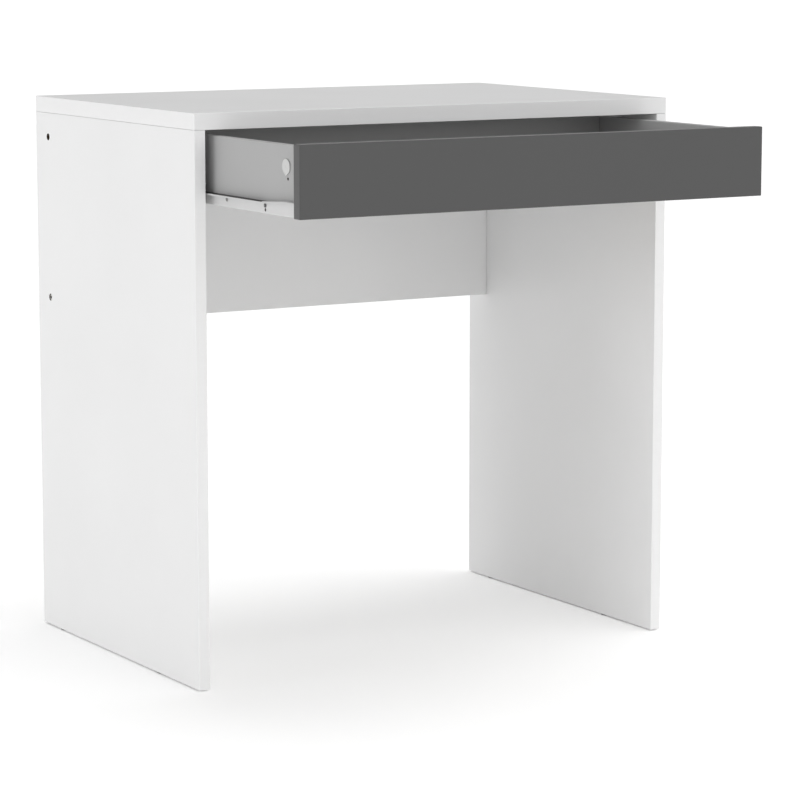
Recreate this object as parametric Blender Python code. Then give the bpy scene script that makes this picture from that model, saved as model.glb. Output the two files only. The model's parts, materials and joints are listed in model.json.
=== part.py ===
"""A flat-pack writing desk whose single drawer runs on roller slides, modelled with the drawer pulled out.

X runs across the desk, Y from its front to its back and Z up from the floor. The origin is on the
floor, midway between the front of the pulled-out drawer and the back edge of the worktop.
"""

import math

import bmesh
import bpy
from mathutils import Vector

# Driving dimensions, in metres.
WIDTH = 0.740
DEPTH = 0.495
HEIGHT = 0.762
TOP_THICK = 0.022
BOARD = 0.016
DRAWER_OUT = 0.248
DRAWER_STOP = 0.250
RAIL_LENGTH = 0.350

# Clearances and edge finish.
GAP = 0.0003
EDGE_ROUND = 0.0006
OVERCUT = 0.001

# Levels above the floor.
GLIDE_HIGH = 0.002
TOP_UNDER = HEIGHT - TOP_THICK
MODESTY_LOW = 0.4415
FRONT_LOW = 0.643
FRONT_HIGH = 0.7355
DRAWER_LOW = 0.6442
DRAWER_HIGH = 0.732
CHANNEL_LOW = 0.647
CHANNEL_HIGH = 0.6698

# Distances in from the outer face of a side panel.
DRAWER_FACE = 0.0287
DRAWER_BOARD = 0.012
DRAWER_INSIDE = DRAWER_FACE + DRAWER_BOARD
CHANNEL_REACH = 0.026
RUNNER_WEB = 0.0273

# Distances back from the front edges of the side panels.
CHANNEL_FRONT = BOARD + 0.0015
MODESTY_FRONT = DEPTH - 0.033 - BOARD
GLIDE_PLACES = (0.125, 0.437)
CAM_PLACES = (0.060, 0.400)
DOWEL_PLACES = (0.110, 0.350)
CHANNEL_SCREWS = (CHANNEL_FRONT + 0.035, CHANNEL_FRONT + 0.259)
FRONT_AXLE = CHANNEL_FRONT + 0.0115

# Distances back from the outer face of the drawer front.
RUNNER_FRONT = BOARD + 0.0005
DRAWER_BACK_END = BOARD + GAP + RAIL_LENGTH
REAR_AXLE = RUNNER_FRONT + RAIL_LENGTH - 0.0125
RUNNER_SCREWS = (BOARD + 0.090, BOARD + 0.194)
DISC_PLACE = BOARD + 0.036

# Slide hardware.
SHEET = 0.0012
FRONT_ROLLER = 0.008
REAR_ROLLER = (CHANNEL_HIGH - CHANNEL_LOW) / 2 - SHEET - GAP
RUN_HIGH = 0.6588
RUN_LOW = RUN_HIGH - SHEET
RAMP_RISE = 0.004
EAR_RISE = 0.0058
RUNNER_SCREW_HIGH = 0.653

# Fittings.
CAM_DOWN = 0.034
CONFIRMATS = ((0.479, 0.0008), (0.706, 0.004))
BOTTOM_LOW = 0.6555
BOTTOM_THICK = 0.003
GROOVE = 0.005
DISC_HIGH = 0.705
FRONT_DOWEL_HIGH = 0.672
BACK_SCREWS = (0.680, 0.716)

SIDES = {"left": -1, "right": 1}
MATERIALS = {}


def material(name, colour, roughness, metallic=0.0):
    """Makes a Principled material the first time its name is asked for."""
    if name not in MATERIALS:
        made = bpy.data.materials.new(name)
        made.use_nodes = True
        shader = made.node_tree.nodes["Principled BSDF"]
        shader.inputs["Base Color"].default_value = (*colour, 1)
        shader.inputs["Roughness"].default_value = roughness
        shader.inputs["Metallic"].default_value = metallic
        made.diffuse_color = (*colour, 1)
        MATERIALS[name] = made
    return MATERIALS[name]


def white_board():
    return material("white_board", (0.80, 0.80, 0.80), 0.45)


def graphite_board():
    return material("graphite_board", (0.11, 0.11, 0.11), 0.40)


def grey_board():
    return material("grey_board", (0.42, 0.42, 0.42), 0.45)


def hardboard():
    return material("hardboard", (0.40, 0.40, 0.40), 0.55)


def rail_steel():
    return material("rail_steel", (0.66, 0.66, 0.66), 0.35, 0.6)


def zinc():
    return material("zinc", (0.60, 0.61, 0.62), 0.30, 1.0)


def cam_alloy():
    return material("cam_alloy", (0.50, 0.50, 0.50), 0.45, 1.0)


def white_plastic():
    return material("white_plastic", (0.82, 0.82, 0.80), 0.35)


def roller_plastic():
    return material("roller_plastic", (0.78, 0.78, 0.76), 0.40)


def glide_plastic():
    return material("glide_plastic", (0.70, 0.66, 0.56), 0.40)


def beech():
    return material("beech", (0.62, 0.45, 0.27), 0.60)


def across(side, inset):
    """World X at a distance in from the outer face of one side panel."""
    return side * (WIDTH / 2 - inset)


def add(name, bm, surface, parent, location, direction=None, smooth=False):
    """Turns a bmesh into a named object under an empty, its local Z along the direction."""
    bmesh.ops.recalc_face_normals(bm, faces=bm.faces)
    mesh = bpy.data.meshes.new(name)
    bm.to_mesh(mesh)
    bm.free()
    if smooth:
        mesh.shade_smooth()
        mesh.set_sharp_from_angle(angle=math.radians(35))
    mesh.materials.append(surface)
    made = bpy.data.objects.new(name, mesh)
    made.parent = parent
    made.location = location
    if direction is not None:
        made.rotation_euler = Vector(direction).to_track_quat("Z", "Y").to_euler()
    bpy.context.collection.objects.link(made)
    return made


def empty(name, location):
    made = bpy.data.objects.new(name, None)
    made.location = location
    bpy.context.collection.objects.link(made)
    return made


def board(name, low, high, surface, parent):
    """A panel between two corners, its edges lightly rounded."""
    low, high = Vector(low), Vector(high)
    bm = bmesh.new()
    bmesh.ops.create_cube(bm, size=1)
    bmesh.ops.scale(bm, vec=high - low, verts=bm.verts)
    bmesh.ops.bevel(bm, geom=bm.edges[:], offset=EDGE_ROUND, segments=2, profile=0.5, affect="EDGES")
    return add(name, bm, surface, parent, (low + high) / 2)


def cut(owner, cutter):
    """Takes a helper's shape out of its owner."""
    cutter.hide_render = True
    cutter.display_type = "WIRE"
    modifier = owner.modifiers.new(cutter.name, "BOOLEAN")
    modifier.operation = "DIFFERENCE"
    modifier.solver = "EXACT"
    modifier.object = cutter


def bore(owner, mouth, direction, radius, depth):
    """Drills a round hole from its mouth, along the direction and into the owner."""
    mouth, direction = Vector(mouth), Vector(direction)
    steps = 20 if radius > 0.0048 else 12
    bm = bmesh.new()
    bmesh.ops.create_cone(
        bm, cap_ends=True, segments=steps, radius1=radius, radius2=radius, depth=depth + OVERCUT
    )
    middle = mouth + direction * (depth - OVERCUT) / 2
    cutter = add(owner.name + "_bore", bm, owner.data.materials[0], owner.parent, middle, direction)
    cut(owner, cutter)


def groove(owner, low, high):
    """Cuts a square-edged channel between two corners."""
    low, high = Vector(low), Vector(high)
    bm = bmesh.new()
    bmesh.ops.create_cube(bm, size=1)
    bmesh.ops.scale(bm, vec=high - low, verts=bm.verts)
    cutter = add(owner.name + "_groove", bm, owner.data.materials[0], owner.parent, (low + high) / 2)
    cut(owner, cutter)


def turned(name, outline, surface, parent, location, direction, steps=12, ring=False):
    """Turns (radius, height) points about the local Z axis: a solid, or a ring with a hole through it."""
    bm = bmesh.new()
    points = [bm.verts.new((radius, 0, height)) for radius, height in outline]
    ends = points[1:] + points[:1] if ring else points[1:]
    edges = [bm.edges.new(pair) for pair in zip(points, ends)]
    bmesh.ops.spin(
        bm,
        geom=points + edges,
        cent=(0, 0, 0),
        axis=(0, 0, 1),
        angle=2 * math.pi,
        steps=steps,
        use_merge=True,
    )
    bmesh.ops.remove_doubles(bm, verts=bm.verts, dist=1e-6)
    return add(name, bm, surface, parent, location, direction, smooth=True)


def loft(rings):
    """Skins a list of rings that have the same number of points, and closes both ends."""
    bm = bmesh.new()
    rows = [[bm.verts.new(point) for point in ring] for ring in rings]
    count = len(rows[0])
    for near, far in zip(rows, rows[1:]):
        for index in range(count):
            after = (index + 1) % count
            bm.faces.new((near[index], near[after], far[after], far[index]))
    bm.faces.new(rows[0])
    bm.faces.new(rows[-1])
    return bm


def top_panel(carcass):
    made = board(
        "top_panel", (-WIDTH / 2, 0, TOP_UNDER), (WIDTH / 2, DEPTH, HEIGHT), white_board(), carcass
    )
    for side in SIDES.values():
        for place in CAM_PLACES:
            bore(made, (across(side, BOARD / 2), place, TOP_UNDER), (0, 0, 1), 0.0028, 0.0115)
        for place in DOWEL_PLACES:
            bore(made, (across(side, BOARD / 2), place, TOP_UNDER), (0, 0, 1), 0.0043, 0.0105)


def side_panel(word, side, carcass):
    outer = across(side, 0)
    inner = across(side, BOARD)
    middle = across(side, BOARD / 2)
    low, high = min(outer, inner), max(outer, inner)
    top = TOP_UNDER - GAP
    made = board(
        "side_panel_" + word, (low, 0, GLIDE_HIGH), (high, DEPTH, top), white_board(), carcass
    )
    for place in CAM_PLACES:
        bore(made, (inner, place, TOP_UNDER - CAM_DOWN), (side, 0, 0), 0.0075, 0.0126)
        bore(made, (middle, place, top), (0, 0, -1), 0.0035, 0.030)
    for place in DOWEL_PLACES:
        bore(made, (middle, place, top), (0, 0, -1), 0.0043, 0.0205)
    for place in GLIDE_PLACES:
        bore(made, (middle, place, GLIDE_HIGH), (0, 0, 1), 0.0014, 0.013)
    for place in CHANNEL_SCREWS:
        bore(made, (inner, place, (CHANNEL_LOW + CHANNEL_HIGH) / 2), (side, 0, 0), 0.0028, 0.0125)
    for level, sunk in CONFIRMATS:
        spot = (outer, MODESTY_FRONT + BOARD / 2, level)
        bore(made, spot, (-side, 0, 0), 0.0050, sunk + 0.0038)
        bore(made, spot, (-side, 0, 0), 0.0036, BOARD + OVERCUT)


def modesty_panel(carcass):
    reach = across(1, BOARD + GAP)
    made = board(
        "modesty_panel",
        (-reach, MODESTY_FRONT, MODESTY_LOW),
        (reach, MODESTY_FRONT + BOARD, TOP_UNDER - GAP),
        white_board(),
        carcass,
    )
    for side in SIDES.values():
        for level, _ in CONFIRMATS:
            spot = (side * reach, MODESTY_FRONT + BOARD / 2, level)
            bore(made, spot, (-side, 0, 0), 0.0033, 0.040)


def confirmat(name, side, level, sunk, carcass):
    """A one-piece connecting screw with a socket in its head, driven in from outside."""
    outline = [
        (0, -0.0024),
        (0.0020, -0.0024),
        (0.0020, 0),
        (0.0046, 0),
        (0.0046, -0.0010),
        (0.0033, -0.0033),
        (0.0033, -0.0110),
        (0.0029, -0.0110),
        (0.0029, -0.0460),
        (0, -0.0500),
    ]
    spot = (across(side, sunk), MODESTY_FRONT + BOARD / 2, level)
    turned(name, outline, zinc(), carcass, spot, (side, 0, 0))


def cam(name, side, place, carcass):
    """A round cam let into a side panel, with the pocket that takes its bolt's head."""
    outline = [(0, 0), (0.0060, 0), (0.0072, -0.0010), (0.0072, -0.0122), (0, -0.0122)]
    spot = Vector((across(side, BOARD - GAP), place, TOP_UNDER - CAM_DOWN))
    made = turned(name, outline, cam_alloy(), carcass, spot, (-side, 0, 0), steps=16)
    bore(made, (across(side, BOARD / 2), place, spot.z + 0.0072), (0, 0, -1), 0.0032, 0.0105)


def cam_bolt(name, spot, direction, surface, parent, neck, thread, thick):
    """A connecting bolt: head in the cam, plain neck, then a thread in the neighbouring board."""
    outline = [
        (0, -neck),
        (thick * 0.8, -neck),
        (thick, -neck + 0.0010),
        (thick * 0.6, -neck + 0.0030),
        (thick * 0.6, -neck + 0.0070),
        (thick, -neck + 0.0090),
        (thick, thread - 0.0015),
        (0, thread),
    ]
    turned(name, outline, surface, parent, spot, direction)


def dowel(name, spot, direction, surface, parent, radius, back, ahead):
    """A wooden peg with chamfered ends, across the joint between two boards."""
    chamfer = radius * 0.3
    outline = [
        (0, -back),
        (radius - chamfer, -back),
        (radius, -back + chamfer),
        (radius, ahead - chamfer),
        (radius - chamfer, ahead),
        (0, ahead),
    ]
    turned(name, outline, surface, parent, spot, direction)


def glide(name, side, place, carcass):
    """A nail-in glide: the disc that the desk stands on, and its nail."""
    outline = [
        (0, 0),
        (0.0064, 0),
        (0.0072, 0.0006),
        (0.0072, GLIDE_HIGH - GAP),
        (0.0011, GLIDE_HIGH - GAP),
        (0.0011, 0.0130),
        (0, 0.0145),
    ]
    turned(
        name, outline, glide_plastic(), carcass, (across(side, BOARD / 2), place, 0), (0, 0, 1), steps=20
    )


def channel_rail(word, side, carcass):
    """The fixed slide: a C of sheet steel, cut back at the front round its roller, with a stop hook."""
    back = across(side, BOARD + GAP)
    web = across(side, BOARD + GAP + SHEET)
    rear_stop = REAR_AXLE - DRAWER_STOP
    hook_face = rear_stop - math.sqrt(REAR_ROLLER**2 - 0.0056**2) - GAP
    hook_low = (CHANNEL_LOW + CHANNEL_HIGH) / 2 + 0.0056
    step = 0.0005

    def ring(place, front, hooked):
        low = FRONT_LOW - 0.001 if front else CHANNEL_LOW
        reach = across(side, BOARD + GAP + 2 * SHEET if front else CHANNEL_REACH)
        high_reach = across(side, CHANNEL_REACH)
        shelf = hook_low if hooked else CHANNEL_HIGH - SHEET
        outline = [
            (back, low),
            (reach, low),
            (reach, low + SHEET),
            (web, low + SHEET),
            (web, shelf),
            (high_reach, shelf),
            (high_reach, CHANNEL_HIGH),
            (back, CHANNEL_HIGH),
        ]
        return [(x, place, z) for x, z in outline]

    clear = FRONT_AXLE + FRONT_ROLLER + 0.003
    rings = [
        ring(CHANNEL_FRONT, True, False),
        ring(clear, True, False),
        ring(clear + step, False, False),
        ring(hook_face - SHEET - step, False, False),
        ring(hook_face - SHEET, False, True),
        ring(hook_face, False, True),
        ring(hook_face + step, False, False),
        ring(CHANNEL_FRONT + RAIL_LENGTH, False, False),
    ]
    made = add("channel_rail_" + word, loft(rings), rail_steel(), carcass, (0, 0, 0))
    middle = (CHANNEL_LOW + CHANNEL_HIGH) / 2
    for place in CHANNEL_SCREWS:
        bore(made, (web, place, middle), (side, 0, 0), 0.0028, SHEET + OVERCUT)
    bore(made, (web, FRONT_AXLE, RUN_LOW - GAP - FRONT_ROLLER), (side, 0, 0), 0.0023, SHEET + OVERCUT)


def runner_rail(word, side, drawer):
    """The slide on the drawer: a foot under the side, a web, and a shelf that runs on the front roller."""
    web = across(side, RUNNER_WEB)
    skin = across(side, RUNNER_WEB + SHEET - 0.0001)
    foot = across(side, RUNNER_WEB + 0.0107)
    low = DRAWER_LOW - 0.0004 - SHEET

    def ring(place, rise, reach=0.0077, lip_wide=0.0008):
        shelf = across(side, RUNNER_WEB - reach)
        lip = across(side, RUNNER_WEB - reach + lip_wide)
        outline = [
            (skin, low + SHEET),
            (foot, low + SHEET),
            (foot, low),
            (web, low),
            (web, RUN_LOW + rise),
            (lip, RUN_LOW + rise),
            (lip, RUN_LOW + rise - 0.0016),
            (shelf, RUN_LOW + rise - 0.0016),
            (shelf, RUN_HIGH + rise),
            (skin, RUN_HIGH + rise),
        ]
        return [(x, place, z) for x, z in outline]

    shelf_end = REAR_AXLE - REAR_ROLLER - 0.002
    rings = [
        ring(RUNNER_FRONT, RAMP_RISE),
        ring(RUNNER_FRONT + 0.028, RAMP_RISE),
        ring(RUNNER_FRONT + 0.086, 0),
        ring(shelf_end, 0),
        ring(shelf_end + 0.0005, EAR_RISE, 0.0006, 0.0004),
        ring(RUNNER_FRONT + RAIL_LENGTH, EAR_RISE, 0.0006, 0.0004),
    ]
    made = add("runner_rail_" + word, loft(rings), rail_steel(), drawer, (0, 0, 0))
    for place in RUNNER_SCREWS:
        bore(made, (web, place, RUNNER_SCREW_HIGH), (-side, 0, 0), 0.0018, SHEET + OVERCUT)
    bore(made, (web, RUNNER_SCREWS[0], RUNNER_SCREW_HIGH - 0.0055), (-side, 0, 0), 0.0016, SHEET + OVERCUT)
    level = (CHANNEL_LOW + CHANNEL_HIGH) / 2
    bore(made, (web, REAR_AXLE, level), (-side, 0, 0), 0.0023, SHEET + OVERCUT)


def roller(name, spot, direction, parent, radius, width):
    """A plastic roller, dished for its axle's head. Its origin is on the axle's centre line."""
    outline = [
        (0.0023, 0),
        (radius - 0.0006, 0),
        (radius, 0.0006),
        (radius, width - 0.0006),
        (radius - 0.0006, width),
        (0.0039, width),
        (0.0039, width - 0.0016),
        (0.0023, width - 0.0016),
    ]
    turned(name, outline, roller_plastic(), parent, spot, direction, steps=24, ring=True)


def axle(name, spot, direction, parent, shoulder, width):
    """A riveted pin: a tail through the rail, a shoulder, the journal and a head in the roller's dish."""
    journal = 0.0020
    head = shoulder + GAP + width - 0.0016 + GAP
    outline = [
        (0, GAP / 2 - SHEET),
        (journal, GAP / 2 - SHEET),
        (journal, GAP),
        (0.0031, GAP),
        (0.0031, shoulder),
        (journal, shoulder),
        (journal, head),
        (0.0034, head),
        (0.0030, head + 0.0010),
        (0, head + 0.0010),
    ]
    turned(name, outline, zinc(), parent, spot, direction)


def front_roller(word, side, carcass):
    shoulder, width = 0.0031, 0.0050
    web = across(side, BOARD + GAP + SHEET)
    level = RUN_LOW - GAP - FRONT_ROLLER
    start = (web - side * (shoulder + GAP), FRONT_AXLE, level)
    roller("front_roller_" + word, start, (-side, 0, 0), carcass, FRONT_ROLLER, width)
    axle("front_axle_" + word, (web, FRONT_AXLE, level), (-side, 0, 0), carcass, shoulder, width)


def rear_roller(word, side, drawer):
    shoulder, width = 0.0014, 0.0060
    web = across(side, RUNNER_WEB)
    level = (CHANNEL_LOW + CHANNEL_HIGH) / 2
    start = (web + side * (shoulder + GAP), REAR_AXLE, level)
    roller("rear_roller_" + word, start, (side, 0, 0), drawer, REAR_ROLLER, width)
    axle("rear_axle_" + word, (web, REAR_AXLE, level), (side, 0, 0), drawer, shoulder, width)


def drawer_front(drawer):
    half = across(1, BOARD + 0.0022)
    made = board(
        "drawer_front", (-half, 0, FRONT_LOW), (half, BOARD, FRONT_HIGH), graphite_board(), drawer
    )
    reach = across(1, DRAWER_INSIDE - GROOVE)
    groove(
        made,
        (-reach, BOARD - GROOVE, BOTTOM_LOW - GAP),
        (reach, BOARD + OVERCUT, BOTTOM_LOW + BOTTOM_THICK + GAP),
    )
    for side in SIDES.values():
        middle = across(side, DRAWER_FACE + DRAWER_BOARD / 2)
        bore(made, (middle, BOARD, DISC_HIGH), (0, -1, 0), 0.0025, 0.0112)
        bore(made, (middle, BOARD, FRONT_DOWEL_HIGH), (0, -1, 0), 0.0033, 0.0104)


def drawer_side(word, side, drawer):
    outer = across(side, DRAWER_FACE)
    inner = across(side, DRAWER_INSIDE)
    middle = (outer + inner) / 2
    low, high = min(outer, inner), max(outer, inner)
    start = BOARD + GAP
    made = board(
        "drawer_side_" + word,
        (low, start, DRAWER_LOW),
        (high, DRAWER_BACK_END, DRAWER_HIGH),
        grey_board(),
        drawer,
    )
    floor_slot = (across(side, DRAWER_INSIDE - GROOVE), across(side, DRAWER_INSIDE + OVERCUT))
    groove(
        made,
        (min(floor_slot), start - OVERCUT, BOTTOM_LOW - GAP),
        (max(floor_slot), DRAWER_BACK_END + OVERCUT, BOTTOM_LOW + BOTTOM_THICK + GAP),
    )
    bore(made, (outer, DISC_PLACE, DISC_HIGH), (-side, 0, 0), 0.0075, 0.0092)
    bore(made, (outer, DISC_PLACE - 0.003, DISC_HIGH - 0.015), (-side, 0, 0), 0.0020, 0.008)
    bore(made, (middle, start, DISC_HIGH), (0, 1, 0), 0.0028, 0.032)
    bore(made, (middle, start, FRONT_DOWEL_HIGH), (0, 1, 0), 0.0033, 0.0184)
    for place in RUNNER_SCREWS:
        bore(made, (outer, place, RUNNER_SCREW_HIGH), (-side, 0, 0), 0.0018, 0.0092)
    for level in BACK_SCREWS:
        spot = (outer, DRAWER_BACK_END - DRAWER_BOARD / 2, level)
        bore(made, spot, (-side, 0, 0), 0.0036, 0.0028)
        bore(made, spot, (-side, 0, 0), 0.0020, DRAWER_BOARD + OVERCUT)


def drawer_back(drawer):
    reach = across(1, DRAWER_INSIDE + GAP)
    made = board(
        "drawer_back",
        (-reach, DRAWER_BACK_END - DRAWER_BOARD, BOTTOM_LOW + BOTTOM_THICK + GAP),
        (reach, DRAWER_BACK_END, DRAWER_HIGH),
        grey_board(),
        drawer,
    )
    for side in SIDES.values():
        for level in BACK_SCREWS:
            spot = (side * reach, DRAWER_BACK_END - DRAWER_BOARD / 2, level)
            bore(made, spot, (-side, 0, 0), 0.0020, 0.022)


def drawer_bottom(drawer):
    reach = across(1, DRAWER_INSIDE - GROOVE + GAP)
    board(
        "drawer_bottom",
        (-reach, BOARD - GROOVE + GAP, BOTTOM_LOW),
        (reach, DRAWER_BACK_END, BOTTOM_LOW + BOTTOM_THICK),
        hardboard(),
        drawer,
    )


def cam_disc(word, side, drawer):
    """The white fitting on the drawer side: a disc with a pointed nose that shows how far it is turned."""
    disc, nose, body, proud, deep = 0.0098, 0.0118, 0.0072, 0.0013, 0.0088
    steps = 24
    angles = [math.radians(-90 + 360 * index / steps) for index in range(steps)]
    shoulder = math.radians(45)

    def outline(angle):
        """Radius of the nosed outline: a circle, but for the flanks that meet at the nose."""
        off = abs((angle + math.pi / 2 + math.pi) % (2 * math.pi) - math.pi)
        if off >= shoulder:
            return disc
        flank_x, flank_y = disc * math.sin(shoulder), disc * math.cos(shoulder)
        slope = (nose - flank_y) / flank_x
        return nose / (math.cos(off) + slope * math.sin(off))

    def ring(radius_at, height):
        return [
            (-side * height, radius_at(angle) * math.cos(angle), radius_at(angle) * math.sin(angle))
            for angle in angles
        ]

    def round_body(_):
        return body

    rings = [
        ring(outline, -GAP - proud),
        ring(outline, -GAP),
        ring(round_body, -GAP),
        ring(round_body, deep),
    ]
    spot = Vector((across(side, DRAWER_FACE), DISC_PLACE, DISC_HIGH))
    made = add("cam_disc_" + word, loft(rings), white_plastic(), drawer, spot)
    middle = across(side, DRAWER_FACE + DRAWER_BOARD / 2)
    bore(made, (middle, DISC_PLACE - body, DISC_HIGH), (0, 1, 0), 0.0026, 0.0105)


def small_screw(name, spot, direction, parent, head, head_high, shank, length):
    """A panhead screw. Its local origin is under the head, and the direction points out of the head."""
    outline = [
        (0, head_high * 0.4),
        (head * 0.35, head_high),
        (head * 0.8, head_high),
        (head, head_high * 0.3),
        (head, 0),
        (shank, 0),
        (shank, -length * 0.85),
        (0, -length),
    ]
    turned(name, outline, zinc(), parent, spot, direction)


def main():
    for old in list(bpy.data.objects):
        bpy.data.objects.remove(old, do_unlink=True)
    front_edge = -(DEPTH - DRAWER_OUT) / 2
    carcass = empty("carcass", (0, front_edge, 0))
    drawer = empty("drawer", (0, front_edge - DRAWER_OUT, 0))

    top_panel(carcass)
    modesty_panel(carcass)
    drawer_front(drawer)
    drawer_back(drawer)
    drawer_bottom(drawer)
    for word, side in SIDES.items():
        side_panel(word, side, carcass)
        drawer_side(word, side, drawer)
        channel_rail(word, side, carcass)
        runner_rail(word, side, drawer)
        front_roller(word, side, carcass)
        rear_roller(word, side, drawer)
        cam_disc(word, side, drawer)
        fasten_carcass(word, side, carcass)
        fasten_drawer(word, side, drawer)
    bpy.context.view_layer.update()


def fasten_carcass(word, side, carcass):
    middle = across(side, BOARD / 2)
    for end, place in zip(("front", "rear"), CAM_PLACES):
        cam(f"cam_{end}_{word}", side, place, carcass)
        spot = (middle, place, TOP_UNDER)
        cam_bolt(f"cam_bolt_{end}_{word}", spot, (0, 0, 1), zinc(), carcass, 0.0345, 0.011, 0.0024)
    for end, place in zip(("front", "rear"), DOWEL_PLACES):
        spot = (middle, place, TOP_UNDER)
        dowel(f"top_dowel_{end}_{word}", spot, (0, 0, 1), beech(), carcass, 0.0040, 0.020, 0.010)
    for end, place in zip(("front", "rear"), GLIDE_PLACES):
        glide(f"glide_{end}_{word}", side, place, carcass)
    for level_word, (level, sunk) in zip(("lower", "upper"), CONFIRMATS):
        confirmat(f"modesty_screw_{level_word}_{word}", side, level, sunk, carcass)
    seat = across(side, BOARD + 2 * GAP + SHEET)
    for end, place in zip(("front", "rear"), CHANNEL_SCREWS):
        spot = (seat, place, (CHANNEL_LOW + CHANNEL_HIGH) / 2)
        small_screw(
            f"channel_screw_{end}_{word}", spot, (-side, 0, 0), carcass, 0.0038, 0.0012, 0.0025, 0.0135
        )


def fasten_drawer(word, side, drawer):
    middle = across(side, DRAWER_FACE + DRAWER_BOARD / 2)
    spot = (middle, BOARD, DISC_HIGH)
    cam_bolt("front_bolt_" + word, spot, (0, -1, 0), zinc(), drawer, 0.0365, 0.0108, 0.0021)
    spot = (middle, BOARD, FRONT_DOWEL_HIGH)
    dowel("front_dowel_" + word, spot, (0, -1, 0), beech(), drawer, 0.0030, 0.018, 0.010)
    seat = across(side, RUNNER_WEB - GAP)
    for end, place in zip(("front", "rear"), RUNNER_SCREWS):
        spot = (seat, place, RUNNER_SCREW_HIGH)
        small_screw(
            f"runner_screw_{end}_{word}", spot, (side, 0, 0), drawer, 0.0029, 0.0009, 0.0015, 0.0105
        )
    seat = across(side, DRAWER_FACE + 0.0025)
    for level_word, level in zip(("lower", "upper"), BACK_SCREWS):
        spot = (seat, DRAWER_BACK_END - DRAWER_BOARD / 2, level)
        small_screw(
            f"back_screw_{level_word}_{word}", spot, (side, 0, 0), drawer, 0.0033, 0.0020, 0.0017, 0.0290
        )


main()
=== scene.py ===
import json
from math import pi, radians, sin

import bmesh
import bpy
from mathutils import Matrix, Vector

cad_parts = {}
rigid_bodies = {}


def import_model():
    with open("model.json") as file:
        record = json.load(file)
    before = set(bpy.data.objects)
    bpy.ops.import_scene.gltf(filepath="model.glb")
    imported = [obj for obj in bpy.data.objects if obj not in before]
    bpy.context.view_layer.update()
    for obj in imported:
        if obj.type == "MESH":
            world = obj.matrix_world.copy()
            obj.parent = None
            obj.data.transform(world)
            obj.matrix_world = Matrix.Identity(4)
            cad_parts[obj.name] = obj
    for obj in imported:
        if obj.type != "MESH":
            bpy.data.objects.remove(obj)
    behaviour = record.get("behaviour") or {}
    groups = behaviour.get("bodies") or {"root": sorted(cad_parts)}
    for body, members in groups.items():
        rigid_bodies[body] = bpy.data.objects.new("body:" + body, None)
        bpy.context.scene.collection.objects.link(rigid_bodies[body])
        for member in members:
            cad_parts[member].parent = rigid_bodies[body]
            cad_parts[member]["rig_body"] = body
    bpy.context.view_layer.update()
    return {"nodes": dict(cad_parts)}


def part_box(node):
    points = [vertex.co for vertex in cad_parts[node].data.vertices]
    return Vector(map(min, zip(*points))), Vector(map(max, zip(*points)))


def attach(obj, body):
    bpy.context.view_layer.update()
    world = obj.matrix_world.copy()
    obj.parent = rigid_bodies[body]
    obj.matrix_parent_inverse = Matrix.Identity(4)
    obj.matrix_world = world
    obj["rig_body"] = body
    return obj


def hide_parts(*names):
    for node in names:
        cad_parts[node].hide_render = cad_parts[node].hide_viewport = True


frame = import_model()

nodes = frame["nodes"]
sides = {"left": -1, "right": 1}
ends = ("front", "rear")
levels = ("lower", "upper")
print("frame loaded with", len(nodes), "nodes")


class Wire:
    # one socket; arithmetic on it adds Math nodes
    def __init__(self, tree, socket):
        self.tree = tree
        self.socket = socket

    def math(self, operation, *others, clamp=False):
        node = self.tree.nodes.new("ShaderNodeMath")
        node.operation = operation
        node.use_clamp = clamp
        for place, value in enumerate((self, *others)):
            plug(self.tree, node.inputs[place], value)
        return Wire(self.tree, node.outputs[0])

    def __add__(self, other):
        return self.math("ADD", other)

    __radd__ = __add__

    def __mul__(self, other):
        return self.math("MULTIPLY", other)

    __rmul__ = __mul__

    def __sub__(self, other):
        return self.math("SUBTRACT", other)

    def __rsub__(self, other):
        return (self * -1).math("ADD", other)

    def __truediv__(self, other):
        return self.math("DIVIDE", other)

    def soft(self, low, high):  # 0 below low, 1 above high
        return ((self - low) / (high - low)).math("ADD", 0, clamp=True)


def plug(tree, socket, value):
    if isinstance(value, Wire):
        tree.links.new(value.socket, socket)
    elif isinstance(value, (tuple, list)) and len(value) == 3 and socket.type == "RGBA":
        socket.default_value = (*value, 1)
    else:
        socket.default_value = value


class Tree:
    # a node tree; every node that isn't arithmetic is added here
    def __init__(self, tree):
        self.tree = tree

    def add(self, kind, settings=None, values=None, output=0):
        node = self.tree.nodes.new(kind)
        for name, value in (settings or {}).items():
            setattr(node, name, value)
        for socket, value in (values or {}).items():
            plug(self.tree, node.inputs[socket], value)
        return Wire(self.tree, node.outputs[output])

    def split(self, vector):
        first = self.add("ShaderNodeSeparateXYZ", values={0: vector})
        return [Wire(self.tree, socket) for socket in first.socket.node.outputs]


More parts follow.
